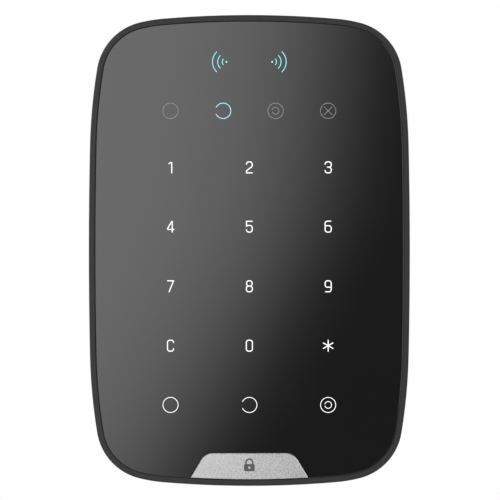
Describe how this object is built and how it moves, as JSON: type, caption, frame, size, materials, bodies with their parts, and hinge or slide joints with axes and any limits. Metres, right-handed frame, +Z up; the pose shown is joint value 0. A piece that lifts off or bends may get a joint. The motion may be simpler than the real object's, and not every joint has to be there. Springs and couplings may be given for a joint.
{
  "type": "rfid card reader keypad",
  "caption": "Slim wall keypad with card reader: flush dark touch lens in a matte frame, silver badge, case that lifts off a hooked wall bracket.",
  "frame": {"origin": "centre of the bracket's flat rear face, on the wall", "axes": "+Z up along the height, the front faces -Y, +Y points into the wall, X across the width"},
  "size_m": [0.1124, 0.02, 0.165],
  "materials": {
    "frame_plastic": "matte",
    "case_plastic": "matte",
    "bracket_plastic": "matte",
    "lens": "gloss",
    "badge_metal": "satin",
    "diffuser_film": "satin",
    "circuit_board": "satin",
    "copper": "satin",
    "ferrite": "matte",
    "chip": "satin",
    "steel": "satin",
    "contact_metal": "satin",
    "button_plastic": "satin",
    "tray_plastic": "matte",
    "battery_can": "satin",
    "led": "satin"
  },
  "bodies": {
    "bracket": {"wall_bracket": "bracket_plastic"},
    "keypad": {"rear_case": "case_plastic", "front_frame": "frame_plastic", "touch_lens": "lens", "badge_plate": "badge_metal", "light_guide": "diffuser_film", "touch_board": "circuit_board", "reader_coil": "copper", "ferrite_ring": "ferrite", "processor_chip": "chip", "reader_chip": "chip", "touch_chip": "chip", "radio_shield": "steel", "radio_antenna": "contact_metal", "buzzer": "chip", "tamper_switch": "chip", "power_switch": "chip", "battery_tray": "tray_plastic", "key_led_1": "led", "key_led_2": "led", "key_led_3": "led", "key_led_4": "led", "key_led_5": "led", "key_led_6": "led", "key_led_7": "led", "key_led_8": "led", "key_led_9": "led", "key_led_10": "led", "key_led_11": "led", "key_led_12": "led", "mode_led_1": "led", "mode_led_2": "led", "mode_led_3": "led", "indicator_led_1": "led", "indicator_led_2": "led", "indicator_led_3": "led", "indicator_led_4": "led", "reader_led_1": "led", "reader_led_2": "led", "battery_1": "battery_can", "battery_2": "battery_can", "battery_3": "battery_can", "battery_4": "battery_can", "contact_spring_1": "steel", "contact_spring_2": "steel", "contact_spring_3": "steel", "contact_spring_4": "steel", "case_screw_1": "steel", "case_screw_2": "steel", "case_screw_3": "steel", "case_screw_4": "steel", "contact_top_left": "contact_metal", "contact_top_middle": "contact_metal", "contact_top_right": "contact_metal", "contact_bottom_left": "contact_metal", "contact_bottom_right": "contact_metal"},
    "lock_screw": {"lock_screw": "steel"},
    "tamper_button": {"tamper_button": "button_plastic"},
    "power_button": {"power_button": "button_plastic"}
  },
  "joints": [
    {"name": "keypad_lift", "type": "slide", "parent": "bracket", "child": "keypad", "axis": [0, 0, 1], "range_m": [0, 0.007]},
    {"name": "lock_screw_out", "type": "slide", "parent": "bracket", "child": "lock_screw", "axis": [0, 0, -1], "range_m": [0, 0.006]},
    {"name": "tamper_release", "type": "slide", "parent": "keypad", "child": "tamper_button", "axis": [0, 1, 0], "range_m": [0, 0.00078]},
    {"name": "power_press", "type": "slide", "parent": "keypad", "child": "power_button", "axis": [0, -1, 0], "range_m": [0, 0.0008], "stiffness_N_per_m": 400}
  ],
  "couplings": [
    {"joint": "tamper_release", "follows": "keypad_lift", "ratio": 0.11}
  ]
}
